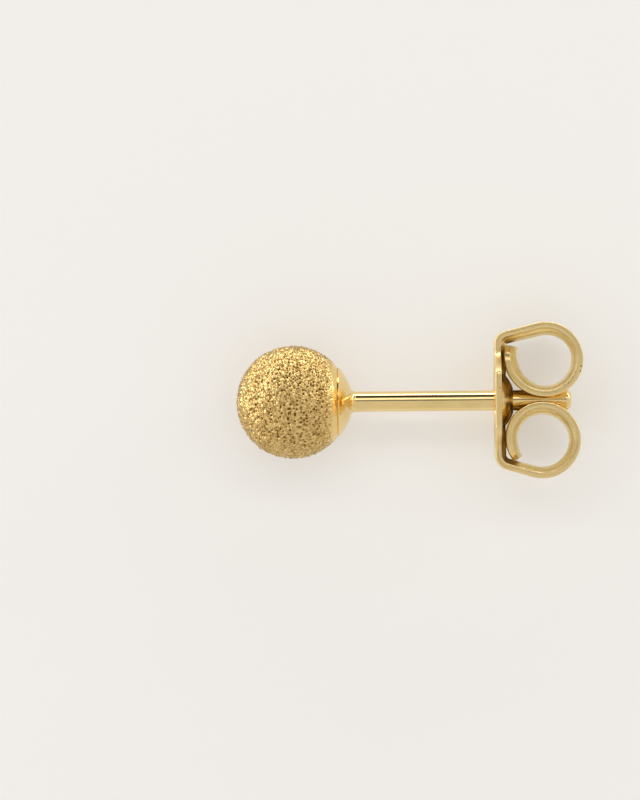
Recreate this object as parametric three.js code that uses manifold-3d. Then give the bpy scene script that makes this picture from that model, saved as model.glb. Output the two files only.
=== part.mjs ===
// A ball stud earring, lying on its side as it does on a table. All lengths are in millimetres.
//
// It is two pieces of gold. The stud is a hollow ball with a polished cup soldered over its back, and
// a straight round post soldered into the cup. The butterfly back is one stamped strip of sheet: a wide
// plate with a dimpled hole for the post, and two arms that curl back over the plate, so that their two
// loops grip the post between them. A round channel is pressed along the whole strip, and the post lies
// in it where it passes between the loops.
//
// The post runs along X with the ball at the -X end, the loops lie towards +Y and -Y, and Z is up. The
// origin is on the table under the middle of the earring.

import * as THREE from 'three';
import { mergeVertices } from 'three/addons/utils/BufferGeometryUtils.js';
import Module from 'manifold-3d';

// Ball
const BALL_DIAMETER = 5;
const BALL_WALL = 0.25;
const VENT_DIAMETER = 0.4;

// Cup over the back of the ball. Its height above the ball grows from the rim to the post.
const CUP_RIM_DIAMETER = 3;
const CUP_RIM_HEIGHT = 0.04;
const CUP_CROWN_HEIGHT = 0.13;

// Post
const POST_DIAMETER = 0.9;
const POST_LENGTH = 9.8;
const POST_TIP_ROUND = 0.25;
const POST_FOOT_FILLET = 0.22;
const POST_PEG_LENGTH = 0.4;

// Sheet of the butterfly back, and the clearance around the post wherever the back holds it
const SHEET = 0.28;
const POST_CLEARANCE = 0.04;

// Plate. The back's place is the distance from the ball's centre to the middle of the plate.
const BACK_PLACE = 9.05;
const PLATE_WIDTH = 5;
const PLATE_STRAIGHT_SIDE = 2.3;
const PLATE_SHOULDERS = 4.4;
const DIMPLE_DIAMETER = 2.6;
const DIMPLE_HEIGHT = 0.55;

// Arms, alike on both sides, with rounded ends
const ARM_WIDTH = 2.5;
const END_TAPER = 0.8;
const END_WIDTH = 0.7;

// The two loops, curled by hand, so that they differ a little. Each size belongs to the middle of the
// sheet: plateEnd is from the post's axis to the bend, nipReach from the plate to where the loop comes
// closest to the post, and nipOffset from there to the post's axis. The tail is the end of the strip
// past the nip. It stops tailGap short of the plate and turns by tailTurn degrees. Depth is how deep the
// channel is at each place, of which far is the side of the loop away from the plate. At the nip it is
// as deep as the post needs.
const LOOPS = {
  left: {
    side: 1, plateEnd: 2.49, bendRadius: 0.45, loopRadius: 1.52, nipReach: 2.1, nipOffset: 0.285,
    tailGap: 0.14, tailTurn: 107, depth: { bend: 0.42, arm: 0.45, far: 0.34, tail: 0.46, end: 0.42 },
  },
  right: {
    side: -1, plateEnd: 2.39, bendRadius: 0.56, loopRadius: 1.55, nipReach: 1.94, nipOffset: 0.21,
    tailGap: 0.19, tailTurn: 131, depth: { bend: 0.34, arm: 0.36, far: 0.34, tail: 0.38, end: 0.3 },
  },
};

// The channel pressed along the strip: its depth in the middle of the plate, and the sheet left in its
// wall. The dimple of the plate keeps a thicker wall.
const PLATE_CHANNEL_DEPTH = 0.3;
const CHANNEL_WALL = 0.155;
const DIMPLE_WALL = 0.25;

// Fineness of the facets
const TURNS = 48;
const BALL_STEPS = 32;
const FILLET_STEPS = 4;
const CHANNEL_STEPS = 6;
const STRIP_STEPS = { plate: 14, bend: 5, arm: 4, loop: 11, tail: 10, end: 6 };

// Sizes that follow from the ones above
const ballRadius = BALL_DIAMETER / 2;
const postRadius = POST_DIAMETER / 2;
const holeRadius = postRadius + POST_CLEARANCE;
const ridgeRadius = holeRadius + CHANNEL_WALL;
const halfSheet = SHEET / 2;

const wasm = await Module();
wasm.setup();

// A closed three.js geometry as a manifold solid.
function solidOf(geometry) {
  const bare = geometry.clone().deleteAttribute('normal').deleteAttribute('uv');
  const merged = mergeVertices(bare);
  const corners = merged.index.array;
  const kept = [];
  for (let i = 0; i < corners.length; i += 3) {
    const [a, b, c] = corners.slice(i, i + 3);
    if (a !== b && b !== c && c !== a) kept.push(a, b, c);
  }
  return new wasm.Manifold(
    new wasm.Mesh({
      numProp: 3,
      vertProperties: merged.attributes.position.array,
      triVerts: new Uint32Array(kept),
    }),
  );
}

// A manifold solid as a three.js geometry.
function geometryOf(solid) {
  const mesh = solid.getMesh();
  const geometry = new THREE.BufferGeometry();
  geometry.setAttribute('position', new THREE.BufferAttribute(mesh.vertProperties, mesh.numProp));
  geometry.setIndex(new THREE.BufferAttribute(mesh.triVerts, 1));
  geometry.computeVertexNormals();
  return geometry;
}

// A solid turned about the post's axis. The profile is a list of [place along the axis, radius].
function turned(profile, turns = TURNS) {
  const points = profile.map(([along, radius]) => new THREE.Vector2(radius, along));
  return solidOf(new THREE.LatheGeometry(points, turns).rotateZ(-Math.PI / 2));
}

// Points [along, radius] on an arc. Its radius may change evenly from one end to the other.
function arc(centre, [fromRadius, toRadius], [fromAngle, toAngle], steps) {
  return Array.from({ length: steps + 1 }, (_, i) => {
    const radius = THREE.MathUtils.lerp(fromRadius, toRadius, i / steps);
    const angle = THREE.MathUtils.lerp(fromAngle, toAngle, i / steps);
    return [centre[0] + radius * Math.cos(angle), Math.max(0, centre[1] + radius * Math.sin(angle))];
  });
}

// Outside of the stud, from the front of the ball to the tip of the post. Angles are about the ball's
// centre, from the side of the post.
function studOutside() {
  const rimAngle = Math.asin(CUP_RIM_DIAMETER / 2 / ballRadius);
  const half = BALL_STEPS / 2;
  const front = arc([0, 0], [ballRadius, ballRadius], [Math.PI, Math.PI / 2], half);
  const back = arc([0, 0], [ballRadius, ballRadius], [Math.PI / 2, rimAngle], Math.round(half / 2));

  const rimRadius = ballRadius + CUP_RIM_HEIGHT;
  const crownRadius = ballRadius + CUP_CROWN_HEIGHT;
  const footRadius = postRadius + POST_FOOT_FILLET;
  const footAngle = Math.asin(footRadius / crownRadius);
  const cup = arc([0, 0], [rimRadius, crownRadius], [rimAngle, footAngle], Math.round(half / 2));

  const filletCentre = [crownRadius * Math.cos(footAngle) + POST_FOOT_FILLET, footRadius];
  const filletAngles = [Math.PI, 1.5 * Math.PI];
  const fillet = arc(filletCentre, [POST_FOOT_FILLET, POST_FOOT_FILLET], filletAngles, FILLET_STEPS);

  const tipCentre = [ballRadius + POST_LENGTH - POST_TIP_ROUND, postRadius - POST_TIP_ROUND];
  const tip = arc(tipCentre, [POST_TIP_ROUND, POST_TIP_ROUND], [Math.PI / 2, 0], FILLET_STEPS);
  return [...front, ...back.slice(1), ...cup, ...fillet.slice(1), ...tip, [tip.at(-1)[0], 0]];
}

// Hollow of the ball, which leaves the peg of the post standing in it.
function ballHollow() {
  const hollowRadius = ballRadius - BALL_WALL;
  const pegAngle = Math.asin(postRadius / hollowRadius);
  const wall = arc([0, 0], [hollowRadius, hollowRadius], [Math.PI, pegAngle], BALL_STEPS / 2);
  const pegEnd = hollowRadius * Math.cos(pegAngle) - POST_PEG_LENGTH;
  return [...wall, [pegEnd, postRadius], [pegEnd, 0]];
}

// Pinhole that lets hot air out while the post is soldered in. It goes through the underside of the
// cup, half way from its rim to the post.
function vent() {
  const reach = ballRadius + 2 * CUP_CROWN_HEIGHT;
  const length = 2 * (BALL_WALL + CUP_CROWN_HEIGHT);
  const rimAngle = Math.asin(CUP_RIM_DIAMETER / 2 / ballRadius);
  const postAngle = Math.asin(postRadius / ballRadius);
  const drill = new THREE.CylinderGeometry(VENT_DIAMETER / 2, VENT_DIAMETER / 2, length, TURNS / 3);
  drill.rotateZ(-Math.PI / 2).translate(reach - length / 2, 0, 0);
  return solidOf(drill.rotateY((rimAngle + postAngle) / 2));
}

function stud() {
  return turned(studOutside())
    .subtract(turned(ballHollow(), TURNS / 2))
    .subtract(vent());
}

// Runs of one arm's middle line that follow each other from the centre of the plate, straight where
// the turn is 0. The line starts along the plate, and every turn curls it over towards the post. The
// straight arm is the tangent that the bend and the loop share.
function armRuns({
  plateEnd, bendRadius, loopRadius, nipReach, nipOffset, tailGap, tailTurn, depth,
}) {
  const across = nipReach - bendRadius;
  const down = plateEnd - nipOffset - loopRadius;
  const between = Math.hypot(across, down);
  const slope = Math.asin((loopRadius - bendRadius) / between) - Math.atan2(down, across);
  const armLength = Math.sqrt(between ** 2 - (loopRadius - bendRadius) ** 2);

  const tailRadius = nipReach - SHEET - tailGap;
  const endTurn = END_TAPER / tailRadius;
  const straightTailTurn = THREE.MathUtils.degToRad(tailTurn) - endTurn;
  const { bend, arm, far, tail, end } = depth;
  const nip = holeRadius + halfSheet - nipOffset;
  const bendTurn = Math.PI / 2 - slope;
  const loopTurn = slope + Math.PI;
  const halfLoop = { length: (loopRadius * loopTurn) / 2, turn: loopTurn / 2 };
  return [
    { name: 'plate', length: plateEnd, turn: 0, depth: [PLATE_CHANNEL_DEPTH, bend] },
    { name: 'bend', length: bendRadius * bendTurn, turn: bendTurn, depth: [bend, bend] },
    { name: 'arm', length: armLength, turn: 0, depth: [bend, arm] },
    { name: 'loop', ...halfLoop, depth: [arm, far] },
    { name: 'loop', ...halfLoop, depth: [far, nip] },
    { name: 'tail', length: tailRadius * straightTailTurn, turn: straightTailTurn, depth: [nip, tail] },
    { name: 'end', length: END_TAPER, turn: endTurn, depth: [tail, end] },
  ];
}

// Stations along one arm, from the centre of the plate to the end of the strip. Each has a point of
// the sheet's middle, the direction across the sheet towards the inside of the loop, the width of the
// strip and the depth of its channel.
function armStations(loop) {
  const stations = [];
  const point = new THREE.Vector2(0, 0);
  let heading = Math.PI / 2;
  let travelled = 0;
  const runs = armRuns(loop);
  const total = runs.reduce((sum, run) => sum + run.length, 0);
  for (const { name, length, turn, depth } of runs) {
    const steps = STRIP_STEPS[name];
    const first = stations.length ? 1 : 0;
    for (let i = 0; i <= steps; i += 1) {
      if (i > 0) {
        // A chord of the arc has the mean heading of its two ends.
        const half = turn / steps / 2;
        const chord = turn ? (length / turn) * 2 * Math.sin(half) : length / steps;
        heading -= half;
        point.add(new THREE.Vector2(Math.cos(heading), Math.sin(heading)).multiplyScalar(chord));
        heading -= half;
        travelled += length / steps;
      }
      if (i < first) continue;
      stations.push({
        x: point.x,
        y: point.y * loop.side,
        inX: Math.sin(heading),
        inY: -Math.cos(heading) * loop.side,
        width: stripWidth(travelled, total - travelled),
        depth: THREE.MathUtils.lerp(depth[0], depth[1], THREE.MathUtils.smoothstep(i / steps, 0, 1)),
      });
    }
  }
  return stations;
}

// Width of the strip: from its straight side the plate narrows to the arm over its shoulders, and the
// end of the strip is rounded.
function stripWidth(fromCentre, fromEnd) {
  const narrowing =
    THREE.MathUtils.smoothstep(fromCentre, PLATE_STRAIGHT_SIDE / 2, PLATE_SHOULDERS / 2);
  const width = THREE.MathUtils.lerp(PLATE_WIDTH, ARM_WIDTH, narrowing);
  const inEnd = THREE.MathUtils.clamp(1 - fromEnd / END_TAPER, 0, 1);
  return THREE.MathUtils.lerp(width, END_WIDTH, 1 - Math.sqrt(1 - inEnd ** 2));
}

// Height of a pressed face above the flat sheet at each of its points across the strip. The channel is
// part of a circle whose centre lies below the face.
function pressedRow({ width, depth }, radius, face) {
  const centreBelow = holeRadius - depth + (face > 0 ? SHEET : 0);
  const edge = width / 2;
  const reach = Math.min(Math.sqrt(Math.max(0, radius ** 2 - centreBelow ** 2)), 0.9 * edge);
  const spread = Math.asin(reach / radius);
  const row = [-edge];
  for (let i = 0; i <= CHANNEL_STEPS; i += 1) {
    row.push(radius * Math.sin(THREE.MathUtils.lerp(-spread, spread, i / CHANNEL_STEPS)));
  }
  row.push(edge);
  return row.map((across) => {
    const raised = Math.sqrt(Math.max(0, radius ** 2 - across ** 2)) - centreBelow;
    return { across, height: face * halfSheet + Math.max(0, raised) };
  });
}

// The whole strip, from the end of one arm to the end of the other.
function strip() {
  const left = armStations(LOOPS.left);
  const right = armStations(LOOPS.right);
  const stations = [...left.reverse(), ...right.slice(1)];
  const positions = [];
  for (const station of stations) {
    const section = [
      ...pressedRow(station, holeRadius, -1),
      ...pressedRow(station, ridgeRadius, 1).reverse(),
    ];
    for (const { across, height } of section) {
      positions.push(station.x + station.inX * height, station.y + station.inY * height, across);
    }
  }
  const around = 2 * (CHANNEL_STEPS + 3);
  const triangles = [];
  const quad = (a, b, c, d) => triangles.push(a, c, b, a, d, c);
  for (let i = 0; i < stations.length - 1; i += 1) {
    for (let k = 0; k < around; k += 1) {
      const next = (k + 1) % around;
      quad(i * around + k, i * around + next, (i + 1) * around + next, (i + 1) * around + k);
    }
  }
  const last = (stations.length - 1) * around;
  for (let k = 0; k < around / 2 - 1; k += 1) {
    const mate = around - 1 - k;
    quad(k, mate, mate - 1, k + 1);
    quad(last + k, last + k + 1, last + mate - 1, last + mate);
  }
  return new wasm.Manifold(
    new wasm.Mesh({
      numProp: 3,
      vertProperties: new Float32Array(positions),
      triVerts: new Uint32Array(triangles),
    }),
  );
}

// Dimple of the plate, pressed towards the loops, as a solid to add and a solid to cut.
function dimple() {
  const baseRadius = DIMPLE_DIAMETER / 2;
  const top = halfSheet + DIMPLE_HEIGHT;
  const spread = (baseRadius ** 2 - holeRadius ** 2) / DIMPLE_HEIGHT;
  const centre = (top + halfSheet - spread) / 2;
  const radius = Math.hypot(baseRadius, halfSheet - centre);
  const baseAngle = Math.asin(baseRadius / radius);
  const steps = Math.round(BALL_STEPS / 4);
  const dome = arc([centre, 0], [radius, radius], [baseAngle, 0], steps);
  const inside = radius - DIMPLE_WALL;
  const dish = arc([centre, 0], [inside, inside], [Math.PI, 0], 4 * steps);
  return { dome: turned([[0, 0], [0, baseRadius], ...dome]), dish: turned(dish) };
}

function butterflyBack() {
  const { dome, dish } = dimple();
  const hole = turned([[-1, 0], [-1, holeRadius], [1, holeRadius], [1, 0]]);
  return strip().add(dome).subtract(dish).subtract(hole).translate([BACK_PLACE, 0, 0]);
}

// The ball and the plate's side rest on the table, which tilts the post where their sizes differ.
const restTilt =
  Math.asin(ballRadius / Math.hypot(BACK_PLACE, PLATE_WIDTH / 2)) -
  Math.atan2(PLATE_WIDTH / 2, BACK_PLACE);

const GOLD = { color: 0xd9ae5f, metalness: 1 };
const pieces = {
  ball_and_post: { solid: stud(), roughness: 0.3 },
  butterfly_back: { solid: butterflyBack(), roughness: 0.25 },
};

const earring = new THREE.Group();
earring.name = 'ball_stud_earring';
for (const [name, { solid, roughness }] of Object.entries(pieces)) {
  const material = new THREE.MeshStandardMaterial({ ...GOLD, roughness });
  material.name = `gold_of_${name}`;
  const mesh = new THREE.Mesh(geometryOf(solid).rotateY(restTilt), material);
  mesh.name = name;
  earring.add(mesh);
}

// Origin on the table, under the middle of the earring
const box = new THREE.Box3().setFromObject(earring);
const middle = box.getCenter(new THREE.Vector3());
for (const mesh of earring.children) mesh.geometry.translate(-middle.x, -middle.y, -box.min.z);

export default earring;
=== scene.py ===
# %% [markdown]
# # A gold ball stud on a table
#
# This lesson dresses one small jewel: a stud earring with a sparkle-cut ball, a polished cup and post,
# and the butterfly back that holds it on the ear. The exact solids come from the CAD model. Here they
# get what makes the real thing look like gold: thousands of tiny cuts on the ball, soft rounded edges
# on the sheet, and reflections that have something dark and something bright to show.

# %% Load the CAD frame
import math

import bmesh
import bpy
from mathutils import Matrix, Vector


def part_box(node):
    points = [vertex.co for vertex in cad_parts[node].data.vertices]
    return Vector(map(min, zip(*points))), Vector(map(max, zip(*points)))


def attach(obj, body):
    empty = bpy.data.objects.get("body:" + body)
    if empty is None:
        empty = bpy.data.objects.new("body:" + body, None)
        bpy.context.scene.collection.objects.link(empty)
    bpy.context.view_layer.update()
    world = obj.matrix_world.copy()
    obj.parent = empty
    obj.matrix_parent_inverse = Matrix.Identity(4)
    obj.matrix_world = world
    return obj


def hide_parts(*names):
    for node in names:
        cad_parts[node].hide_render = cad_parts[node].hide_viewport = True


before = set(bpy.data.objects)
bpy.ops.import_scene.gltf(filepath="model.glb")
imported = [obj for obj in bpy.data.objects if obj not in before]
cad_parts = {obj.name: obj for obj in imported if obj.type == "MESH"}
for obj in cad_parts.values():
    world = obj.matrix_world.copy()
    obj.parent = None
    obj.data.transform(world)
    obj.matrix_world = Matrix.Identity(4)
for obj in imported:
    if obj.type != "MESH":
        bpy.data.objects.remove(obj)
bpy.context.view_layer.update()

stud_low, stud_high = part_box("ball_and_post")
back_low, back_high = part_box("butterfly_back")
print("back in mm:", [[round(c * 1000, 3) for c in corner] for corner in (back_low, back_high)])

# %% [markdown]
# ## Sizes
#
# Blender works in metres and a jeweller in millimetres, so every size below is a count of MM. The ball's
# centre is read from the CAD box of the stud. The post runs from there along +X, the two loops of the
# back lie towards +Y and -Y, and +Z is up. The back's place is the distance from the ball's centre to
# the middle of its plate.

# %% Sizes of the stud
MM = 0.001
BALL_RADIUS = 2.5 * MM
CUP_RIM_RADIUS = 1.5 * MM
CUP_RIM_HEIGHT = 0.04 * MM
CUP_CROWN_HEIGHT = 0.13 * MM
POST_RADIUS = 0.45 * MM
POST_LENGTH = 9.8 * MM
TIP_ROUND = 0.25 * MM
FOOT_FILLET = 0.22 * MM
VENT_RADIUS = 0.2 * MM
BACK_PLACE = 9.05 * MM

ball_centre = Vector((
    stud_low.x + BALL_RADIUS,
    (stud_low.y + stud_high.y) / 2,
    (stud_low.z + stud_high.z) / 2,
))
plate_centre = ball_centre + Vector((BACK_PLACE, 0, 0))
rim_angle = math.asin(CUP_RIM_RADIUS / BALL_RADIUS)
vent_angle = (rim_angle + math.asin(POST_RADIUS / BALL_RADIUS)) / 2
print("ball centre in mm:", [round(c / MM, 3) for c in ball_centre])

# %% [markdown]
# ## Camera
#
# The photo looks at the earring from its side, and the earring lies on its side, so the camera looks
# straight down with the image's top towards +Y. One pixel of the photo is 0.0442 mm, and its post slopes
# by half a degree. A long lens from far away keeps the loops from showing their inner walls more than
# the photo does.

# %% Camera above the table
PIXEL = 0.0442 * MM
IMAGE_WIDTH, IMAGE_HEIGHT = 640, 800
BALL_IN_IMAGE = (293, 402)
CAMERA_HEIGHT = 400 * MM
SENSOR = 36
SLOPE = -0.5

camera_data = bpy.data.cameras.new("camera")
camera_data.sensor_width = SENSOR
camera_data.lens = SENSOR * (CAMERA_HEIGHT - ball_centre.z) / (IMAGE_HEIGHT * PIXEL)
camera_data.clip_start, camera_data.clip_end = 0.01, 5
camera = bpy.data.objects.new("camera", camera_data)
bpy.context.collection.objects.link(camera)
camera.location = (
    ball_centre.x + (IMAGE_WIDTH / 2 - BALL_IN_IMAGE[0]) * PIXEL,
    ball_centre.y + (BALL_IN_IMAGE[1] - IMAGE_HEIGHT / 2) * PIXEL,
    CAMERA_HEIGHT,
)
camera.rotation_euler = (0, 0, math.radians(SLOPE))
bpy.context.scene.camera = camera
print("lens in mm:", round(camera_data.lens, 1))

# %% [markdown]
# ## Turned surfaces
#
# The cup and the post are round about one axis, as if they came off a lathe. A profile of points, each a
# place along the axis and a radius, is turned in steps. Points on the axis itself become one vertex, so
# that the ends are closed. Smooth shading hides the steps, and real corners are small arcs in the
# profile, because no worked metal edge is perfectly sharp.

# %% A helper that turns a profile
ON_AXIS = 1e-9
SAME_PLACE = 1e-8


def new_piece(name, vertices, faces):
    mesh = bpy.data.meshes.new(name)
    mesh.from_pydata([tuple(v) for v in vertices], [], faces)
    mesh.shade_smooth()
    piece = bpy.data.objects.new(name, mesh)
    bpy.context.collection.objects.link(piece)
    print(f"{name}: {len(mesh.vertices)} vertices, {len(mesh.polygons)} faces")
    return piece


def arc(centre, radius, start, end, steps):
    """Points (along, radius) on an arc, its angles in radians from the +X side."""
    angles = [start + (end - start) * i / steps for i in range(steps + 1)]
    return [(centre[0] + radius * math.cos(a), centre[1] + radius * math.sin(a)) for a in angles]


def turned(name, profile, centre, steps=96, closed=False):
    """Turns a profile about the post's axis. It runs from -X to +X, or round a ring where closed."""
    vertices, rings = [], []
    for along, radius in profile:
        if radius < ON_AXIS:
            rings.append([len(vertices)])
            vertices.append(centre + Vector((along, 0, 0)))
            continue
        rings.append(list(range(len(vertices), len(vertices) + steps)))
        for i in range(steps):
            a = 2 * math.pi * i / steps
            vertices.append(centre + Vector((along, radius * math.cos(a), radius * math.sin(a))))
    faces = []
    following = rings[1:] + (rings[:1] if closed else [])
    for one, two in zip(rings, following):
        for i in range(steps):
            j = (i + 1) % steps
            corners = [one[i % len(one)], one[j % len(one)], two[j % len(two)], two[i % len(two)]]
            face = list(dict.fromkeys(corners))
            if len(face) > 2:
                faces.append(face)
    return new_piece(name, vertices, faces)


def point_outwards(piece):
    """Closes any doubled seam and turns all faces outwards."""
    mesh = bmesh.new()
    mesh.from_mesh(piece.data)
    bmesh.ops.remove_doubles(mesh, verts=mesh.verts, dist=SAME_PLACE)
    bmesh.ops.recalc_face_normals(mesh, faces=mesh.faces)
    mesh.to_mesh(piece.data)
    mesh.free()


# %% [markdown]
# ## The polished cup
#
# A thin cup is soldered over the back of the ball, and the post is soldered into it. It hides where the
# hollow ball was closed. Its rim stands a little proud, which draws the fine line round the ball, and
# solder has run into a small fillet round the foot of the post. A pinhole in it let the hot air out
# while the post was soldered, and is drilled further down. The rest of the cup is one profile. Its
# inner side lies a little inside the ball and its bore a little inside the post, so that no slit shows.

# %% Turn the cup
crown_radius = BALL_RADIUS + CUP_CROWN_HEIGHT
foot_angle = math.asin((POST_RADIUS + FOOT_FILLET) / crown_radius)
LIP = 0.028 * MM
CUP_STEPS = 24
RIM_FOOT = BALL_RADIUS * 0.985
CUP_INSIDE = BALL_RADIUS * 0.975
BORE_START = BALL_RADIUS * 0.96
BORE_RADIUS = POST_RADIUS * 0.98


def cup_profile():
    points = [(RIM_FOOT * math.cos(rim_angle), RIM_FOOT * math.sin(rim_angle))]
    lip_distance = BALL_RADIUS + CUP_RIM_HEIGHT - LIP
    lip = (lip_distance * math.cos(rim_angle), lip_distance * math.sin(rim_angle))
    points += arc(lip, LIP, rim_angle + math.pi / 2, rim_angle, 6)
    for i in range(1, CUP_STEPS + 1):
        share = i / CUP_STEPS
        angle = rim_angle + (foot_angle - rim_angle) * share
        height = CUP_RIM_HEIGHT + (CUP_CROWN_HEIGHT - CUP_RIM_HEIGHT) * share
        radius = BALL_RADIUS + height
        points.append((radius * math.cos(angle), radius * math.sin(angle)))
    fillet = (points[-1][0] + FOOT_FILLET, POST_RADIUS + FOOT_FILLET)
    points += arc(fillet, FOOT_FILLET, math.pi, 1.5 * math.pi, 8)[1:]
    points += [(points[-1][0], BORE_RADIUS), (BORE_START, BORE_RADIUS)]
    return points + arc((0, 0), CUP_INSIDE, math.asin(POST_RADIUS / BALL_RADIUS), rim_angle * 0.99, 16)


polished_cup = turned("polished_cup", cup_profile(), ball_centre, steps=128, closed=True)
point_outwards(polished_cup)

# %% [markdown]
# ## The post
#
# The post is drawn wire, cut to length and rounded at the tip so that it slips through the ear. The
# drawn surface is as smooth as a mirror along its length, so a plain turned rod with a soft tip is all
# that it takes. Its finish does the rest. The rod begins inside the ball, and its tip is a hair domed.

# %% Turn the post
POST_START = BALL_RADIUS * 0.8
FIRST_RING = 0.2 * MM
POST_RINGS = 12
TIP_DOME = 0.005 * MM

post_end = BALL_RADIUS + POST_LENGTH
tip_centre = (post_end - TIP_ROUND, POST_RADIUS - TIP_ROUND)
straight = POST_LENGTH - TIP_ROUND - FIRST_RING
post_profile = [(POST_START, 0), (POST_START, POST_RADIUS)]
post_profile += [(BALL_RADIUS + FIRST_RING + straight * i / POST_RINGS, POST_RADIUS)
                 for i in range(POST_RINGS)]
post_profile += arc(tip_centre, TIP_ROUND, math.pi / 2, 0, 10)
post_profile += [(post_end + 0.8 * TIP_DOME, POST_RADIUS - 1.6 * TIP_ROUND), (post_end + TIP_DOME, 0)]
post = turned("post", post_profile, ball_centre, steps=96)
point_outwards(post)

# %% [markdown]
# ## The sparkle-cut ball
#
# A spinning diamond tool pecks the ball thousands of times. Each peck leaves a tiny pit, and the metal
# between the pits is left in small tilted faces that flash one by one. A picture of that would look
# printed on. Geometry Nodes can cut it for real: the tree rounds a fine cube into a ball, splits its
# surface into cells with a Voronoi texture, tilts every cell by its own random vector and sinks a pit
# at each point of a second, coarser one. The cuts fade out before the cup, where the tool stops. The
# tree also stores how deep in a pit and how cut each point is, and a random number for each small face,
# for the material to read. The material paints shade into the pits and paints darker reflections onto
# some of the small faces.

# %% Helpers for node trees
def node(tree, kind, **settings):
    made = tree.nodes.new(kind)
    for name, value in settings.items():
        setattr(made, name, value)
    return made


def math_node(tree, operation, a, b=None):
    """A Math node whose inputs are sockets or numbers. Returns its output."""
    made = node(tree, "ShaderNodeMath", operation=operation)
    for socket, value in zip(made.inputs, (a, b)):
        if isinstance(value, bpy.types.NodeSocket):
            tree.links.new(value, socket)
        elif value is not None:
            socket.default_value = value
    return made.outputs[0]


def vector_node(tree, operation, a, b=None, scale=None):
    """The same for a Vector Math node."""
    made = node(tree, "ShaderNodeVectorMath", operation=operation)
    for socket, value in ((made.inputs[0], a), (made.inputs[1], b), (made.inputs.get("Scale"), scale)):
        if isinstance(value, bpy.types.NodeSocket):
            tree.links.new(value, socket)
        elif value is not None:
            socket.default_value = value
    return made.outputs["Value" if operation in ("DOT_PRODUCT", "LENGTH") else "Vector"]


def range_node(tree, value, low, high, to_low, to_high, smooth=True):
    """A Map Range node from low..high to to_low..to_high, clamped. Returns its output."""
    made = node(tree, "ShaderNodeMapRange", clamp=True)
    made.interpolation_type = "SMOOTHSTEP" if smooth else "LINEAR"
    tree.links.new(value, made.inputs["Value"])
    for name, number in (("From Min", low), ("From Max", high), ("To Min", to_low), ("To Max", to_high)):
        if isinstance(number, bpy.types.NodeSocket):
            tree.links.new(number, made.inputs[name])
        else:
            made.inputs[name].default_value = number
    return made.outputs["Result"]


# %% Tree that cuts the ball
# The seam's place and width are angles in radians, and the bowl of a pit is measured in cells
SEAM_BEFORE_RIM = 0.012
SEAM_HALF_WIDTH = (0.004, 0.016)
SEAM_DEPTH = 0.03 * MM
VENT_DEPTH = 0.6 * MM
PIT_BOWL = (0.16, 0.5)
PIT_SHALLOWEST = 0.45
PIT_SHIFT = 7.3


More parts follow.
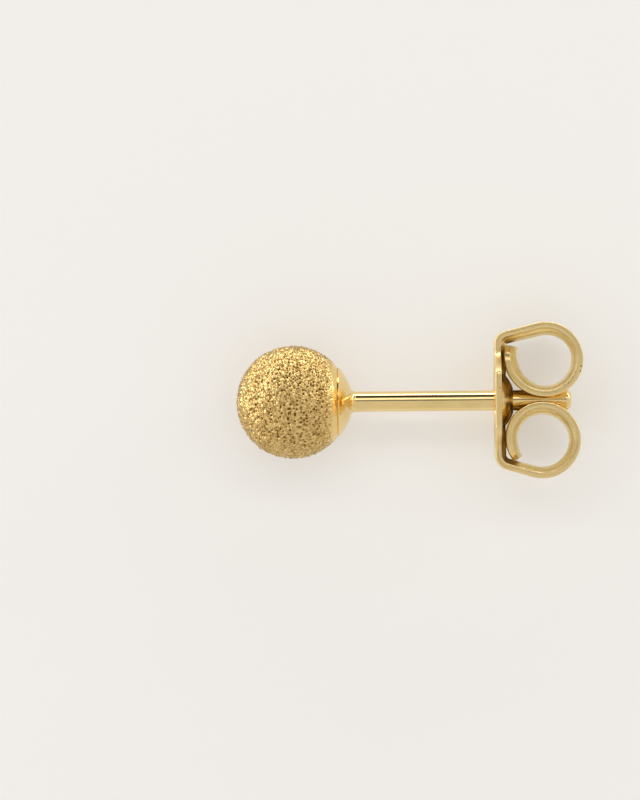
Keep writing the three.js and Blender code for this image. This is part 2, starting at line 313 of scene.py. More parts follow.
def ball_tree():
    tree = bpy.data.node_groups.new("sparkle_cut_ball", "GeometryNodeTree")
    sockets = tree.interface
    sockets.new_socket("Geometry", in_out="INPUT", socket_type="NodeSocketGeometry")
    for name, kind in (
        ("Centre", "NodeSocketVector"), ("Radius", "NodeSocketFloat"), ("Rows", "NodeSocketInt"),
        ("Cell Size", "NodeSocketFloat"), ("Tilt", "NodeSocketFloat"),
        ("Pit Size", "NodeSocketFloat"), ("Pit Depth", "NodeSocketFloat"),
        ("Fade Start", "NodeSocketFloat"), ("Fade End", "NodeSocketFloat"),
        ("Seam Angle", "NodeSocketFloat"), ("Vent Direction", "NodeSocketVector"),
        ("Vent Radius", "NodeSocketFloat"), ("Seed", "NodeSocketFloat"),
        ("Material", "NodeSocketMaterial"),
    ):
        sockets.new_socket(name, in_out="INPUT", socket_type=kind)
    sockets.new_socket("Geometry", in_out="OUTPUT", socket_type="NodeSocketGeometry")
    given = node(tree, "NodeGroupInput").outputs

    # A cube of fine squares, bulged so that they come out nearly equal on the ball
    cube = node(tree, "GeometryNodeMeshCube")
    cube.inputs["Size"].default_value = (2, 2, 2)
    for name in ("Vertices X", "Vertices Y", "Vertices Z"):
        tree.links.new(given["Rows"], cube.inputs[name])
    position = node(tree, "GeometryNodeInputPosition").outputs[0]
    bulged = vector_node(tree, "TANGENT", vector_node(tree, "SCALE", position, scale=math.pi / 4))
    outwards = vector_node(tree, "NORMALIZE", bulged)
    round_it = node(tree, "GeometryNodeSetPosition")
    tree.links.new(cube.outputs["Mesh"], round_it.inputs["Geometry"])
    tree.links.new(vector_node(tree, "SCALE", outwards, scale=given["Radius"]), round_it.inputs["Position"])

    # From here on a point of the ball is known by its direction from the centre
    direction = vector_node(tree, "NORMALIZE", position)
    along = node(tree, "ShaderNodeSeparateXYZ")
    tree.links.new(direction, along.inputs[0])
    fade = range_node(tree, along.outputs["X"], given["Fade Start"], given["Fade End"], 1.0, 0.0)

    def cells(size, seed_step):
        """Voronoi cells of one size. Returns the distance to the nearest cell's point, its colour and its
        place, and the place that was looked up, all in cells."""
        made = node(tree, "ShaderNodeTexVoronoi", voronoi_dimensions="3D", feature="F1")
        made.inputs["Scale"].default_value = 1.0
        shift = node(tree, "ShaderNodeCombineXYZ")
        for socket in shift.inputs:
            tree.links.new(math_node(tree, "ADD", given["Seed"], seed_step), socket)
        in_cells = vector_node(tree, "SCALE", position, scale=math_node(tree, "DIVIDE", 1.0, size))
        in_cells = vector_node(tree, "ADD", in_cells, shift.outputs[0])
        tree.links.new(in_cells, made.inputs["Vector"])
        return made.outputs["Distance"], made.outputs["Color"], made.outputs["Position"], in_cells

    # Every cell tilts by its own random vector about its own point. A quarter of the tilt is taken
    # off, so that nearly all of the cuts lie inside the round ball.
    _, colour, place, in_cells = cells(given["Cell Size"], 0.0)
    random_vector = vector_node(tree, "SUBTRACT", colour, (0.5, 0.5, 0.5))
    from_place = vector_node(tree, "SUBTRACT", in_cells, place)
    tilt = vector_node(tree, "DOT_PRODUCT", random_vector, from_place)
    tilt = math_node(tree, "MULTIPLY", tilt, given["Tilt"])
    tilt = math_node(tree, "SUBTRACT", tilt, math_node(tree, "MULTIPLY", given["Tilt"], 0.25))
    # The cell's colour also gives each small face a random number, which the material uses for painted
    # reflection
    flash = node(tree, "ShaderNodeSeparateXYZ")
    tree.links.new(colour, flash.inputs[0])

    # A pit sits on the points of a second set of cells, and each has its own depth
    pit_distance, pit_colour, _, _ = cells(given["Pit Size"], PIT_SHIFT)
    pit_random = node(tree, "ShaderNodeSeparateXYZ")
    tree.links.new(pit_colour, pit_random.inputs[0])
    deep = range_node(tree, pit_random.outputs["X"], 0.0, 0.5, PIT_SHALLOWEST, 1.0, smooth=False)
    bowl = range_node(tree, pit_distance, *PIT_BOWL, 1.0, 0.0)
    pit = math_node(tree, "MULTIPLY", bowl, deep)
    sunk = math_node(tree, "MULTIPLY", pit, given["Pit Depth"])
    cuts = math_node(tree, "MULTIPLY", math_node(tree, "SUBTRACT", tilt, sunk), fade)

    # The seam in front of the cup's rim, a fine groove
    angle = math_node(tree, "ARCCOSINE", along.outputs["X"])
    off_seam = math_node(tree, "ABSOLUTE", math_node(tree, "SUBTRACT", angle, given["Seam Angle"]))
    seam = range_node(tree, off_seam, *SEAM_HALF_WIDTH, SEAM_DEPTH, 0.0)

    # The pinhole goes on into the ball as a deep, blind pit
    off_vent = vector_node(tree, "CROSS_PRODUCT", position, given["Vent Direction"])
    off_vent = vector_node(tree, "LENGTH", off_vent)
    facing = vector_node(tree, "DOT_PRODUCT", direction, given["Vent Direction"])
    in_vent = math_node(tree, "LESS_THAN", off_vent, given["Vent Radius"])
    in_vent = math_node(tree, "MULTIPLY", in_vent, math_node(tree, "GREATER_THAN", facing, 0.0))
    vent = math_node(tree, "MULTIPLY", in_vent, VENT_DEPTH)

    # What the material needs is stored, and then the points move
    height = math_node(tree, "SUBTRACT", cuts, math_node(tree, "ADD", seam, vent))
    kept = round_it.outputs["Geometry"]
    for name, value in (("pit", math_node(tree, "MULTIPLY", pit, fade)), ("cut", fade),
                        ("flash", flash.outputs["Y"])):
        keep = node(tree, "GeometryNodeStoreNamedAttribute", data_type="FLOAT", domain="POINT")
        keep.inputs["Name"].default_value = name
        tree.links.new(kept, keep.inputs["Geometry"])
        tree.links.new(value, keep.inputs["Value"])
        kept = keep.outputs["Geometry"]

    press = node(tree, "GeometryNodeSetPosition")
    tree.links.new(kept, press.inputs["Geometry"])
    tree.links.new(vector_node(tree, "SCALE", direction, scale=height), press.inputs["Offset"])
    place_it = node(tree, "GeometryNodeTransform")
    tree.links.new(press.outputs["Geometry"], place_it.inputs["Geometry"])
    tree.links.new(given["Centre"], place_it.inputs["Translation"])

    realize = node(tree, "GeometryNodeRealizeInstances")
    tree.links.new(place_it.outputs["Geometry"], realize.inputs["Geometry"])
    set_material = node(tree, "GeometryNodeSetMaterial")
    tree.links.new(realize.outputs["Geometry"], set_material.inputs["Geometry"])
    tree.links.new(given["Material"], set_material.inputs["Material"])
    tree.links.new(set_material.outputs["Geometry"], node(tree, "NodeGroupOutput").inputs[0])
    return tree


# %% [markdown]
# ## Gold
#
# Gold has no colour of its own in the way paint has. It only tints what it mirrors, so the finish is in
# its roughness and its bumps. Fourteen carat gold is paler than pure gold. Three finishes come from one
# helper: the cut ball, whose pits are darkened with painted shade and some of whose small faces with
# painted reflection, the mirror of the cup and the post, and the tumbled sheet of the back. The sheet's
# marks, painted light and painted shadow are added after these.

# %% A helper for gold finishes
GOLD = (0.86, 0.62, 0.25, 1)
BRIGHT_GOLD = (0.88, 0.67, 0.31, 1)
# A deeper gold, mixed in for real marks and tones and for painted shade
GOLD_SHADE = (0.33, 0.17, 0.035, 1)
PATCH_BREADTH = 6


def gold_material(name, roughness, uneven, bump, bump_scale, colour=GOLD):
    """Gold with a patchy roughness and a fine bump. Returns the material, its tree and its shader."""
    material = bpy.data.materials.new(name)
    material.use_nodes = True
    tree = material.node_tree
    shader = tree.nodes["Principled BSDF"]
    shader.inputs["Base Color"].default_value = colour
    shader.inputs["Metallic"].default_value = 1.0
    coordinates = node(tree, "ShaderNodeTexCoord").outputs["Object"]
    patches = node(tree, "ShaderNodeTexNoise")
    patches.inputs["Scale"].default_value = bump_scale / PATCH_BREADTH
    patches.inputs["Detail"].default_value = 3
    tree.links.new(coordinates, patches.inputs["Vector"])
    rough = range_node(tree, patches.outputs["Fac"], 0.3, 0.7, roughness - uneven, roughness + uneven)
    tree.links.new(rough, shader.inputs["Roughness"])
    fine = node(tree, "ShaderNodeTexNoise")
    fine.inputs["Scale"].default_value = bump_scale
    fine.inputs["Detail"].default_value = 4
    tree.links.new(coordinates, fine.inputs["Vector"])
    bumped = node(tree, "ShaderNodeBump")
    bumped.inputs["Strength"].default_value = 1.0
    bumped.inputs["Distance"].default_value = bump
    tree.links.new(fine.outputs["Fac"], bumped.inputs["Height"])
    tree.links.new(bumped.outputs["Normal"], shader.inputs["Normal"])
    return material, tree, shader


def tinted(tree, shader, share, colour=GOLD):
    """Mixes the shade into the gold by a share between 0 and 1. Returns the mix."""
    mix = node(tree, "ShaderNodeMix", data_type="RGBA")
    tree.links.new(share, mix.inputs[0])
    mix.inputs[6].default_value = colour
    mix.inputs[7].default_value = GOLD_SHADE
    tree.links.new(mix.outputs[2], shader.inputs["Base Color"])
    return mix


# %% The three finishes
# Painted shade darkens the deep pits, and painted reflection darkens the small faces that stand for ones
# mirroring something dark
cut_gold, tree, shader = gold_material("cut_gold", 0.14, 0.05, 0.006 * MM, 9000)
pit_depth = node(tree, "ShaderNodeAttribute", attribute_name="pit").outputs["Fac"]
cut_share = node(tree, "ShaderNodeAttribute", attribute_name="cut").outputs["Fac"]
facet = node(tree, "ShaderNodeAttribute", attribute_name="flash").outputs["Fac"]
painted_dark_reflection = math_node(tree, "MULTIPLY", range_node(tree, facet, 0.1, 0.9, 0.6, 0.0), cut_share)
painted_pit_shade = range_node(tree, pit_depth, 0.15, 0.52, 0.0, 1.0)
tinted(tree, shader, math_node(tree, "MAXIMUM", painted_dark_reflection, painted_pit_shade))

# Faint patches of a deeper tone keep the mirror from looking like chrome
mirror_gold, tree, shader = gold_material("mirror_gold", 0.09, 0.03, 0.0008 * MM, 1500, BRIGHT_GOLD)
hazy = node(tree, "ShaderNodeTexNoise")
hazy.inputs["Scale"].default_value = 900
tree.links.new(node(tree, "ShaderNodeTexCoord").outputs["Object"], hazy.inputs["Vector"])
tinted(tree, shader, range_node(tree, hazy.outputs["Fac"], 0.45, 0.75, 0.0, 0.12), BRIGHT_GOLD)

sheet_gold, tree, shader = gold_material("sheet_gold", 0.31, 0.06, 0.003 * MM, 2500)
print("finishes:", [m.name for m in bpy.data.materials])

# %% [markdown]
# ## Marks, painted light and painted shadow on the sheet
#
# Rolling and shearing leave fine lines that follow the strip round its loops, so their texture needs
# coordinates that bend with it: a UV map whose first number runs along the strip and whose second runs
# across it, in mm. The outer face, the edges and the inner face have stretches of their own there, ten
# apart, so the second number also tells which of them a point is on. The inner faces of a loop mirror
# each other, which deepens their colour twice over, so they get a paler gold as painted light, and a
# fine line of painted shadow lies where an edge turns into the inner face. A few nicks from handling
# are laid where the photo shows them.
# They are measured from the middle of the plate, and each is a small dark spot that is also pressed in
# a little.

# %% Lines, nicks, painted light and painted shadow
NICKS = [
    # along, across, height, size in mm
    (0.04, 2.17, 1.26, 0.07),
    (0.10, 2.30, 1.25, 0.06),
    (0.03, 1.27, 2.46, 0.07),
    (0.05, 0.55, 2.50, 0.06),
    (0.32, 1.65, 1.25, 0.07),
    (3.67, 1.48, 1.25, 0.08),
    (3.63, 1.27, 1.25, 0.07),
    (3.42, 1.23, 1.25, 0.06),
    (3.28, 1.00, 1.25, 0.05),
    (3.11, 0.76, 1.25, 0.05),
]
LINES_ALONG, LINES_ACROSS = 0.5, 11.0
LINE_RANGE = (0.5, 0.7)
LINE_SHADE, LINE_DEPTH = 0.36, 0.3
NICK_SHADE = 0.8
NICK_FLOOR = 0.3
MARK_DEPTH = 0.012 * MM
# Painted light: a paler gold for the inner faces, which mirror each other and would come out deeper
PAINTED_LIGHT_INSIDE_GOLD = (0.94, 0.81, 0.5, 1)
# Where the map's second number enters and leaves the inner face
INSIDE_STARTS = (10.26, 10.34)
INSIDE_ENDS = (30.0, 30.08)
# Painted shadow: how dark the fine line is where an edge turns into the inner face
LIP_PAINTED_SHADOW = 1.6

# The tree and the shader are still the ones of sheet_gold
in_strip = node(tree, "ShaderNodeSeparateXYZ")
tree.links.new(node(tree, "ShaderNodeUVMap", uv_map="strip").outputs[0], in_strip.inputs[0])
stretched = node(tree, "ShaderNodeCombineXYZ")
for axis, scale in (("X", LINES_ALONG), ("Y", LINES_ACROSS)):
    tree.links.new(math_node(tree, "MULTIPLY", in_strip.outputs[axis], scale), stretched.inputs[axis])
line_noise = node(tree, "ShaderNodeTexNoise")
line_noise.inputs["Scale"].default_value = 1.0
line_noise.inputs["Detail"].default_value = 4
tree.links.new(stretched.outputs[0], line_noise.inputs["Vector"])
lines = range_node(tree, line_noise.outputs["Fac"], *LINE_RANGE, 0.0, 1.0)

coordinates = node(tree, "ShaderNodeTexCoord").outputs["Object"]
nicks = None
for along, across, height, size in NICKS:
    place = plate_centre + Vector((along, across, height)) * MM
    off = vector_node(tree, "LENGTH", vector_node(tree, "SUBTRACT", coordinates, tuple(place)))
    spot = range_node(tree, off, size * NICK_FLOOR * MM, size * MM, 1.0, 0.0)
    nicks = spot if nicks is None else math_node(tree, "MAXIMUM", nicks, spot)

inside_from = range_node(tree, in_strip.outputs["Y"], *INSIDE_STARTS, 0.0, 1.0)
inside_to = range_node(tree, in_strip.outputs["Y"], *INSIDE_ENDS, 1.0, 0.0)
inside_share = math_node(tree, "MULTIPLY", inside_from, inside_to)
# A fine line of painted shadow, strongest where an edge turns into the inner face
lip = math_node(tree, "MULTIPLY", inside_share, math_node(tree, "SUBTRACT", 1.0, inside_share))

line_shade = math_node(tree, "MULTIPLY", lines, LINE_SHADE)
nick_shade = math_node(tree, "MULTIPLY", nicks, NICK_SHADE)
painted_lip_shadow = math_node(tree, "MULTIPLY", lip, LIP_PAINTED_SHADOW)
marks_and_painted_shadow = math_node(tree, "MAXIMUM", math_node(tree, "MAXIMUM", line_shade, nick_shade), painted_lip_shadow)
sheet_tint = tinted(tree, shader, marks_and_painted_shadow, BRIGHT_GOLD)
# The inner faces get the paler gold of painted light
inside = node(tree, "ShaderNodeMix", data_type="RGBA")
tree.links.new(inside_share, inside.inputs[0])
inside.inputs[6].default_value = BRIGHT_GOLD
inside.inputs[7].default_value = PAINTED_LIGHT_INSIDE_GOLD
tree.links.new(inside.outputs[2], sheet_tint.inputs[6])
line_relief = math_node(tree, "MULTIPLY", lines, -LINE_DEPTH)
relief = math_node(tree, "ADD", line_relief, math_node(tree, "MULTIPLY", nicks, -1.0))
marks = node(tree, "ShaderNodeBump")
marks.inputs["Distance"].default_value = MARK_DEPTH
tree.links.new(relief, marks.inputs["Height"])
tree.links.new(shader.inputs["Normal"].links[0].from_socket, marks.inputs["Normal"])
tree.links.new(marks.outputs["Normal"], shader.inputs["Normal"])
print("nicks on the sheet:", len(NICKS))

# %% [markdown]
# ## Running the tree
#
# Now that the gold is there, the tree can run. It takes its sizes as inputs, and its result is kept as
# a plain mesh. The two fades are cosines of the angle from the post.

# %% Cut the ball
def run_tree(name, tree, values):
    """Runs a Geometry Nodes tree and keeps its result as a plain mesh object."""
    carrier = bpy.data.objects.new(name + "_carrier", bpy.data.meshes.new(name + "_carrier"))
    bpy.context.collection.objects.link(carrier)
    modifier = carrier.modifiers.new("tree", "NODES")
    modifier.node_group = tree
    for item in tree.interface.items_tree:
        if item.in_out == "INPUT" and item.name in values:
            modifier[item.identifier] = values[item.name]
    graph = bpy.context.evaluated_depsgraph_get()
    mesh = bpy.data.meshes.new_from_object(carrier.evaluated_get(graph), depsgraph=graph)
    mesh.name = name
    carrier.modifiers.remove(modifier)
    bpy.data.objects.remove(carrier)
    piece = bpy.data.objects.new(name, mesh)
    bpy.context.collection.objects.link(piece)
    print(f"{name}: {len(mesh.vertices)} vertices, {len(mesh.polygons)} faces")
    return piece


sparkle_ball = run_tree("sparkle_ball", ball_tree(), {
    "Centre": tuple(ball_centre),
    "Radius": BALL_RADIUS,
    "Rows": 126,
    "Cell Size": 0.09 * MM,
    "Tilt": 0.12 * MM,
    "Pit Size": 0.145 * MM,
    "Pit Depth": 0.08 * MM,
    "Fade Start": 0.58,
    "Fade End": 0.75,
    "Seam Angle": rim_angle + SEAM_BEFORE_RIM,
    "Vent Direction": (math.cos(vent_angle), 0.0, -math.sin(vent_angle)),
    "Vent Radius": VENT_RADIUS,
    "Seed": 3.0,
    "Material": cut_gold,
})
sparkle_ball.data.shade_smooth()

# %% [markdown]
# ## The butterfly back
#
# The back is stamped from one strip of sheet and curled by hand over a mandrel. Its shape follows a
# rule: a line runs up the plate, round a tight bend, along a short straight arm and round a loop. There
# the two loops meet and pinch the post, and the tail of the strip ends beside the plate. Every section
# across that line is the same flat sheet with rounded edges and a pressed channel in its middle. So the
# mesh is a long row of sections, worked out in a few lines of code.

# %% Sizes of the back
SHEET = 0.28 * MM
EDGE_ROUND = 0.05 * MM
POST_CLEARANCE = 0.04 * MM
CHANNEL_WALL = 0.155 * MM
HOLE_RADIUS = POST_RADIUS + POST_CLEARANCE
RIDGE_RADIUS = HOLE_RADIUS + CHANNEL_WALL
SHOULDER_ROUND = 0.03 * MM
PLATE_WIDTH = 5 * MM
PLATE_STRAIGHT_SIDE = 2.3 * MM
PLATE_SHOULDERS = 4.4 * MM
ARM_WIDTH = 2.5 * MM
END_TAPER = 0.8 * MM
END_WIDTH = 0.7 * MM
PLATE_CHANNEL_DEPTH = 0.3 * MM
# The middle line of each arm: where the plate bends back, the radii of the bend and the loop, how far
# from the plate and from the post's axis the loops meet, the tail's gap to the plate and its turn in
# degrees. The depths are those of the pressed channel.
LOOPS = [
    dict(side=1, plate_end=2.49 * MM, bend_radius=0.45 * MM, loop_radius=1.52 * MM,
         nip_reach=2.1 * MM, nip_offset=0.285 * MM, tail_gap=0.14 * MM, tail_turn=107,
         depth=dict(bend=0.42 * MM, arm=0.45 * MM, far=0.34 * MM, tail=0.46 * MM, end=0.42 * MM)),
    dict(side=-1, plate_end=2.39 * MM, bend_radius=0.56 * MM, loop_radius=1.55 * MM,
         nip_reach=1.94 * MM, nip_offset=0.21 * MM, tail_gap=0.19 * MM, tail_turn=131,
         depth=dict(bend=0.34 * MM, arm=0.36 * MM, far=0.34 * MM, tail=0.38 * MM, end=0.3 * MM)),
]
STEP = 0.06 * MM
TURN_STEP = math.radians(4)


# %% The line of one arm
def lerp(a, b, t):
    return a + (b - a) * t


def smooth(value, low, high):
    t = min(1, max(0, (value - low) / (high - low)))
    return t * t * (3 - 2 * t)


def arm_runs(loop):
    """Straight and curved runs from the plate's centre: length, turn, and channel depth at both ends."""
    across = loop["nip_reach"] - loop["bend_radius"]
    down = loop["plate_end"] - loop["nip_offset"] - loop["loop_radius"]
    wider = loop["loop_radius"] - loop["bend_radius"]
    slope = math.asin(wider / math.hypot(across, down)) - math.atan2(down, across)
    arm = math.sqrt(across ** 2 + down ** 2 - wider ** 2)
    tail_radius = loop["nip_reach"] - SHEET - loop["tail_gap"]
    end_turn = END_TAPER / tail_radius
    tail_turn = math.radians(loop["tail_turn"]) - end_turn
    nip = HOLE_RADIUS + SHEET / 2 - loop["nip_offset"]
    bend_turn, loop_turn = math.pi / 2 - slope, slope + math.pi
    depth = loop["depth"]
    return [
        (loop["plate_end"], 0, PLATE_CHANNEL_DEPTH, depth["bend"]),
        (loop["bend_radius"] * bend_turn, bend_turn, depth["bend"], depth["bend"]),
        (arm, 0, depth["bend"], depth["arm"]),
        (loop["loop_radius"] * loop_turn / 2, loop_turn / 2, depth["arm"], depth["far"]),
        (loop["loop_radius"] * loop_turn / 2, loop_turn / 2, depth["far"], nip),
        (tail_radius * tail_turn, tail_turn, nip, depth["tail"]),
        (END_TAPER, end_turn, depth["tail"], depth["end"]),
    ]


def strip_width(from_centre, from_end):
    narrowing = smooth(from_centre, PLATE_STRAIGHT_SIDE / 2, PLATE_SHOULDERS / 2)
    width = lerp(PLATE_WIDTH, ARM_WIDTH, narrowing)
    in_end = min(1, max(0, 1 - from_end / END_TAPER))
    return lerp(width, END_WIDTH, 1 - math.sqrt(1 - in_end ** 2))


def arm_stations(loop):
    """Places along the line, each with its point, inward direction, width, depth and distance."""
    stations, x, y, heading, travelled = [], 0.0, 0.0, math.pi / 2, 0.0
    runs = arm_runs(loop)
    total = sum(run[0] for run in runs)
    for length, turn, depth_from, depth_to in runs:
        steps = max(4, round(length / STEP), round(abs(turn) / TURN_STEP))
        for i in range(0 if not stations else 1, steps + 1):
            if i > 0:
                half = turn / steps / 2
                chord = (length / turn) * 2 * math.sin(half) if turn else length / steps
                heading -= half
                x += math.cos(heading) * chord
                y += math.sin(heading) * chord
                heading -= half
                travelled += length / steps
            stations.append(dict(
                x=x, y=y * loop["side"],
                inward=(math.sin(heading), -math.cos(heading) * loop["side"]),
                width=strip_width(travelled, total - travelled),
                depth=lerp(depth_from, depth_to, smooth(i / steps, 0, 1)),
                distance=travelled * loop["side"],
            ))
    return stations


left_arm, right_arm = (arm_stations(loop) for loop in LOOPS)
stations = left_arm[::-1] + right_arm[1:]
print("sections of the strip:", len(stations), "length in mm:",
      round((stations[0]["distance"] - stations[-1]["distance"]) / MM, 2))


# %% Sections of the strip
COLUMNS = 48
EDGE_STEPS = 4


def pressed(across, radius, centre_below):
    """Height of a pressed face above the flat sheet. The channel's shoulders are soft."""
    raised = math.sqrt(max(0, radius ** 2 - across ** 2)) - centre_below
    return (raised + math.sqrt(raised ** 2 + SHOULDER_ROUND ** 2)) / 2


def section(station):
    """Points (across, height) round one section: the outer face, an edge, the inner face, an edge."""
    edge = station["width"] / 2
    half = SHEET / 2
    flat = edge - EDGE_ROUND
    columns = [-flat + 2 * flat * i / COLUMNS for i in range(COLUMNS + 1)]
    below = HOLE_RADIUS - station["depth"]
    outer = [(v, -half + pressed(v, HOLE_RADIUS, below)) for v in columns]
    inner = [(v, half + pressed(v, RIDGE_RADIUS, below + SHEET)) for v in columns[::-1]]

    def rounded(side, low, high):
        """The rounded edge between two corner heights, from low to high."""
        points = []
        for i in range(1, EDGE_STEPS + 1):
            a = math.pi / 2 * i / EDGE_STEPS
            out = side * (flat + EDGE_ROUND * math.sin(a))
            points.append((out, low + EDGE_ROUND * (1 - math.cos(a))))
        for i in range(0, EDGE_STEPS):
            a = math.pi / 2 * (1 - i / EDGE_STEPS)
            out = side * (flat + EDGE_ROUND * math.sin(a))
            points.append((out, high - EDGE_ROUND * (1 - math.cos(a))))
        return points

    right_edge = rounded(1, outer[-1][1], inner[0][1])
    left_edge = rounded(-1, outer[0][1], inner[-1][1])[::-1]
    return outer + right_edge + inner + left_edge


def places_round(station):
    """Where each mesh face round a section begins and ends in the texture, in mm across the strip. The
    outer side comes first. The first edge, the inner side and the other edge follow, each ten on."""
    flat = station["width"] / 2 - EDGE_ROUND
    across = [(-flat + 2 * flat * i / COLUMNS) / MM for i in range(COLUMNS + 1)]
    corner = [math.pi / 2 * EDGE_ROUND / EDGE_STEPS] * EDGE_STEPS
    edge = [0.0]
    for step in corner + [SHEET - 2 * EDGE_ROUND] + corner:
        edge.append(edge[-1] + step / MM)
    places = []
    for start, stretch in ((0, across), (10, edge), (20, across[::-1]), (30, edge)):
        places += [(start + a, start + b) for a, b in zip(stretch, stretch[1:])]
    return places


def strip_mesh(name):
    vertices, faces, rows = [], [], []
    for station in stations:
        ring = section(station)
        rows.append(ring)
        for across, height in ring:
            vertices.append(plate_centre + Vector((
                station["x"] + station["inward"][0] * height,
                station["y"] + station["inward"][1] * height,
                across,
            )))
    around = len(rows[0])
    for i in range(len(rows) - 1):
        for k in range(around):
            n = (k + 1) % around
            faces.append((i * around + k, (i + 1) * around + k, (i + 1) * around + n, i * around + n))
    faces.append(tuple(range(around)))
    faces.append(tuple((len(rows) - 1) * around + k for k in reversed(range(around))))
    piece = new_piece(name, vertices, faces)

    # Texture places along and across the strip, in mm. Each four-cornered face begins with two corners
    # at point k of its sections and ends with two at the next point.
    laid_out = piece.data.uv_layers.new(name="strip")
    places = [places_round(station) for station in stations]
    for face in piece.data.polygons:
        if len(face.vertices) == 4:
            k = face.index % around
            for corner, vertex, step in zip(face.loop_indices, face.vertices, (0, 0, 1, 1)):
                row = vertex // around
                laid_out.data[corner].uv = (stations[row]["distance"] / MM, places[row][k][step])
    point_outwards(piece)
    return piece


butterfly_back = strip_mesh("butterfly_back")

# %% [markdown]
# ## Dimple and hole
#
# A punch pushes the middle of the plate towards the loops and pierces it, so that the hole has a smooth
# funnel on the side of the ear. The dimple is turned like the cup: one solid to add, and one cutter that
# takes out the hollow and the hole and rounds both of their lips. Two Boolean modifiers do the work, and
# a third drills the pinhole of the cup. No two solids share a face exactly, because the solver can't
# tell which side of it is inside: each reaches a thousandth of a millimetre or less past the other.

# %% Punch the dimple
DIMPLE_RADIUS = 1.3 * MM
DIMPLE_HEIGHT = 0.55 * MM
DIMPLE_WALL = 0.25 * MM
DIMPLE_FOOT = 0.12 * MM
HOLE_LIP = 0.06 * MM
PAST_FACE = 0.0005 * MM
PAST_EDGE = 0.001 * MM
BELOW_PLATE, ABOVE_DOME = 0.5 * MM, 0.4 * MM


def boolean(piece, cutter, operation):
    """Adds or cuts with a Boolean modifier, keeps the result as a plain mesh and drops the cutter."""
    modifier = piece.modifiers.new(operation.lower(), "BOOLEAN")
    modifier.object = cutter
    modifier.operation = operation
    modifier.solver = "EXACT"
    graph = bpy.context.evaluated_depsgraph_get()
    mesh = bpy.data.meshes.new_from_object(piece.evaluated_get(graph), depsgraph=graph)
    piece.modifiers.remove(modifier)
    old, piece.data = piece.data, mesh
    mesh.name = piece.name
    bpy.data.meshes.remove(old)
    bpy.data.objects.remove(cutter)
    print(f"{piece.name} after {operation.lower()}: {len(mesh.polygons)} faces")


half = SHEET / 2
top = half + DIMPLE_HEIGHT
sphere_x = (top + half - (DIMPLE_RADIUS ** 2 - HOLE_RADIUS ** 2) / DIMPLE_HEIGHT) / 2
sphere_radius = math.hypot(DIMPLE_RADIUS, half - sphere_x)


def dome_profile():
    """The dome's outside. A small arc at its foot runs out onto the plate."""
    reach = sphere_radius + DIMPLE_FOOT
    foot_at = math.acos((half + DIMPLE_FOOT - sphere_x) / reach)
    foot_centre = (half + DIMPLE_FOOT, reach * math.sin(foot_at))
    foot = arc(foot_centre, DIMPLE_FOOT, math.pi, math.pi + foot_at, 6)
    crown = arc((sphere_x, 0), sphere_radius, foot_at, 0, 24)
    outer = foot_centre[1] + PAST_EDGE
    sunk = [(0.0, 0.0), (0.0, outer), (half - PAST_FACE, outer)]
    return sunk + foot[1:] + crown[1:-1] + [(sphere_x + sphere_radius, 0)]


def punch_profile():
    """The hollow under the dome and the hole through it, with rounded lips."""
    inside, lip = sphere_radius - DIMPLE_WALL, HOLE_LIP
    mouth_at = math.acos((-half + lip - sphere_x) / (inside + lip))
    mouth_centre = (-half + lip, (inside + lip) * math.sin(mouth_at))
    mouth = arc(mouth_centre, lip, math.pi, math.pi + mouth_at, 6)
    hole_at = math.asin((HOLE_RADIUS + lip) / inside)
    hollow = arc((sphere_x, 0), inside, mouth_at, hole_at, 16)
    throat = [(hollow[-1][0] + lip * 0.6, HOLE_RADIUS)]
    top_x = sphere_x + math.sqrt(sphere_radius ** 2 - (HOLE_RADIUS + lip) ** 2)
    flare = arc((top_x - lip, HOLE_RADIUS + lip), lip, -math.pi / 2, 0, 6)
    outer = mouth_centre[1] + PAST_EDGE
    start, end = -half - BELOW_PLATE, top_x + ABOVE_DOME
    points = [(start, 0.0), (start, outer), (-half - PAST_FACE, outer)]
    points += mouth[1:] + hollow[1:] + throat + flare
    return points + [(end, flare[-1][1]), (end, 0.0)]


dome = turned("dome", dome_profile(), plate_centre, steps=96)
point_outwards(dome)
boolean(butterfly_back, dome, "UNION")
punch = turned("punch", punch_profile(), plate_centre, steps=96)
point_outwards(punch)
boolean(butterfly_back, punch, "DIFFERENCE")

# %% Drill the pinhole
DRILL_LENGTH = 3 * MM

drill_profile = [(0, 0), (0, VENT_RADIUS), (DRILL_LENGTH, VENT_RADIUS), (DRILL_LENGTH, 0)]
vent_cutter = turned("vent_cutter", drill_profile, Vector((0, 0, 0)), steps=32)
point_outwards(vent_cutter)
c, s = math.cos(vent_angle), math.sin(vent_angle)
for vertex in vent_cutter.data.vertices:
    x, y, z = vertex.co
    vertex.co = ball_centre + Vector((x * c + z * s, y, z * c - x * s))
boolean(polished_cup, vent_cutter, "DIFFERENCE")

# %% [markdown]
# ## Table and light
#
# A jewel is mostly a picture of its surroundings. The table is a plain pale sheet that glows faintly, as
# if lit from below, so that the undersides have something light to mirror. Soft lamps stand low at the
# top, the left and the right of the picture, and a narrow strip hangs higher at the top. Two black
# cards, one over the low lamp at the top and one beside the camera, draw the dark lines in the post.
# The camera sees neither the lamps nor the cards.

# %% Table
WARM_WHITE = (1.0, 0.98, 0.95, 1)
TABLE_SIZE = 3.0
TABLE_BELOW = 0.01 * MM


def rectangle(name, width, height):
    """A flat rectangle that faces +Z, as an object."""
    w, h = width / 2, height / 2
    mesh = bpy.data.meshes.new(name)
    mesh.from_pydata([(-w, -h, 0), (w, -h, 0), (w, h, 0), (-w, h, 0)], [], [(0, 1, 2, 3)])
    made = bpy.data.objects.new(name, mesh)
    bpy.context.collection.objects.link(made)
    return made


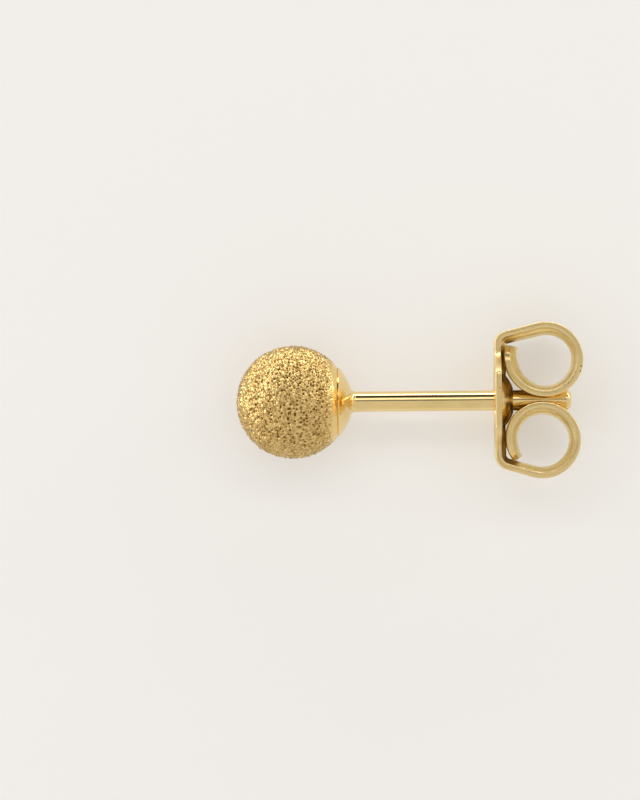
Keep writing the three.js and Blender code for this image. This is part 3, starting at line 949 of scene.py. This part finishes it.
# The table lies a hundredth of a millimetre low, so that the ball's lowest cuts don't pierce it
table = rectangle("table", TABLE_SIZE, TABLE_SIZE)
table.location.z = -TABLE_BELOW
paper = bpy.data.materials.new("paper")
paper.use_nodes = True
paper_shader = paper.node_tree.nodes["Principled BSDF"]
paper_shader.inputs["Base Color"].default_value = (0.72, 0.71, 0.69, 1)
paper_shader.inputs["Roughness"].default_value = 0.7
paper_shader.inputs["Emission Color"].default_value = WARM_WHITE
paper_shader.inputs["Emission Strength"].default_value = 0.28
table.data.materials.append(paper)
print("table:", TABLE_SIZE, "m wide")

# %% Lamps and cards
LAMP_DISTANCE = 0.4
CARD_DISTANCE = 0.38


def turn_to_earring(made, azimuth, elevation, distance):
    """Places a lamp or a card to face the earring. Azimuth 0 is +X and 90 is +Y, in degrees."""
    a, e = math.radians(azimuth), math.radians(elevation)
    away = Vector((math.cos(a) * math.cos(e), math.sin(a) * math.cos(e), math.sin(e)))
    made.location = ball_centre + away * distance
    made.rotation_euler = away.to_track_quat("Z", "Y").to_euler()
    made.visible_camera = False


def lamp(name, azimuth, elevation, width, height, power):
    """A soft area lamp, its sizes in metres and its power in watts."""
    data = bpy.data.lights.new(name, "AREA")
    data.shape = "RECTANGLE"
    data.size, data.size_y = width, height
    data.energy = power
    made = bpy.data.objects.new(name, data)
    bpy.context.collection.objects.link(made)
    turn_to_earring(made, azimuth, elevation, LAMP_DISTANCE)


def dark_card(name, azimuth, elevation, width, height):
    """A black card that the gold can mirror, its sizes in metres."""
    card = rectangle(name, width, height)
    turn_to_earring(card, azimuth, elevation, CARD_DISTANCE)
    felt = bpy.data.materials.new(name)
    felt.use_nodes = True
    felt_shader = felt.node_tree.nodes["Principled BSDF"]
    felt_shader.inputs["Base Color"].default_value = (0.01, 0.01, 0.01, 1)
    felt_shader.inputs["Roughness"].default_value = 1.0
    card.data.materials.append(felt)


lamp("lamp_top", 90, 7, 0.7, 0.08, 0.9)
lamp("lamp_strip", 90, 61, 0.5, 0.04, 0.13)
lamp("lamp_left", 166, 7, 0.5, 0.08, 0.6)
lamp("lamp_right", 28, 9, 0.18, 0.1, 0.15)
dark_card("card_top", 90, 34, 0.6, 0.15)
dark_card("card_camera", 90, 81, 0.4, 0.05)
print("lamps:", [light.name for light in bpy.data.lights])

# %% Surroundings
bpy.context.scene.view_settings.view_transform = "Standard"
world = bpy.data.worlds.new("studio")
bpy.context.scene.world = world
world.use_nodes = True
background = world.node_tree.nodes["Background"]
background.inputs["Color"].default_value = WARM_WHITE
background.inputs["Strength"].default_value = 0.75
print("world:", world.name)

# %% [markdown]
# ## Finishes and bodies
#
# Each piece gets its finish and rides on the CAD body that it belongs to, so that the back can slide on
# the post with all that is on it. The CAD solids are hidden behind the pieces that stand for them.

# %% Dress and attach the pieces
def dress(piece, material):
    piece.data.materials.clear()
    piece.data.materials.append(material)


dress(polished_cup, mirror_gold)
dress(post, mirror_gold)
dress(butterfly_back, sheet_gold)

for piece in (sparkle_ball, polished_cup, post):
    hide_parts("ball_and_post")
    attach(piece, "stud")
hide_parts("butterfly_back")
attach(butterfly_back, "back")
